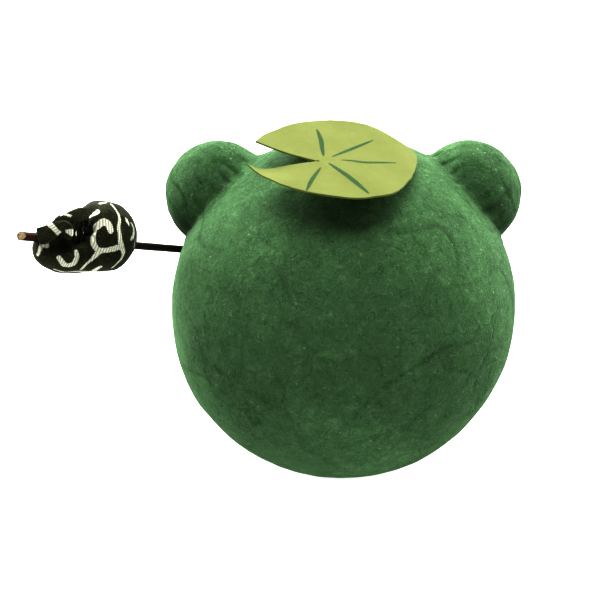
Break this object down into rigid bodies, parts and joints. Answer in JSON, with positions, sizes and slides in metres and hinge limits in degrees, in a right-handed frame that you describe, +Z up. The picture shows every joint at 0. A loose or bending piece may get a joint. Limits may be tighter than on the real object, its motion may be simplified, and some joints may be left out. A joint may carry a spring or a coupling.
{
  "type": "roly-poly paper frog",
  "caption": "Round papier-mache roly-poly frog with a lily-leaf hat and a patterned cloth bundle on a thin pole.",
  "frame": {"origin": "centre of the flat foot, on the surface the toy stands on", "axes": "+Z up; the frog faces -Y; its left, where the bundle is, is +X"},
  "size_m": [0.1414, 0.1003, 0.1034],
  "materials": {
    "raw_paper": "matte",
    "green_washi": "matte, fibrous",
    "pale_washi": "matte, fibrous",
    "white_paper": "matte",
    "black_paper": "matte",
    "leaf_paper": "matte",
    "clay": "dull",
    "lacquered_bamboo": "satin lacquer",
    "patterned_cloth": "woven cotton",
    "cotton": "loose",
    "dark_thread": "twisted"
  },
  "bodies": {
    "body": {"core_front": "raw_paper", "core_rear": "raw_paper", "seam_strip": "raw_paper", "weight_cover": "raw_paper", "clay_weight": "clay", "skin_front": "green_washi", "skin_rear": "green_washi", "base_patch": "green_washi", "eye_dome_left": "raw_paper", "eye_dome_right": "raw_paper", "dome_skin_left": "green_washi", "dome_skin_right": "green_washi", "eye_white_left": "white_paper", "eye_white_right": "white_paper", "pupil_left": "black_paper", "pupil_right": "black_paper", "belly_patch": "pale_washi", "mouth_strip": "black_paper", "nostrils": "black_paper", "leaf_hat": "leaf_paper", "leaf_pad": "raw_paper", "pole_socket": "raw_paper", "socket_plug": "raw_paper"},
    "pole": {"pole": "lacquered_bamboo"},
    "tie": {"pole_tie": "dark_thread"},
    "bundle": {"bundle_stuffing": "cotton", "bundle_cloth": "patterned_cloth", "bundle_knot": "patterned_cloth", "near_ear": "patterned_cloth", "far_ear": "patterned_cloth"}
  },
  "joints": [
    {"name": "pole_slide", "type": "slide", "parent": "body", "child": "pole", "axis": [0.765, 0.5517, 0.3322], "range_m": [0, 0.018]},
    {"name": "bundle_slide", "type": "slide", "parent": "pole", "child": "tie", "axis": [0.765, 0.5517, 0.3322], "range_m": [-0.008, 0.0015]},
    {"name": "bundle_turn", "type": "hinge", "parent": "tie", "child": "bundle", "pos_m": [0.08229, 0.01778, 0.07971], "axis": [0.765, 0.5517, 0.3322], "range_deg": [-40, 40]}
  ]
}
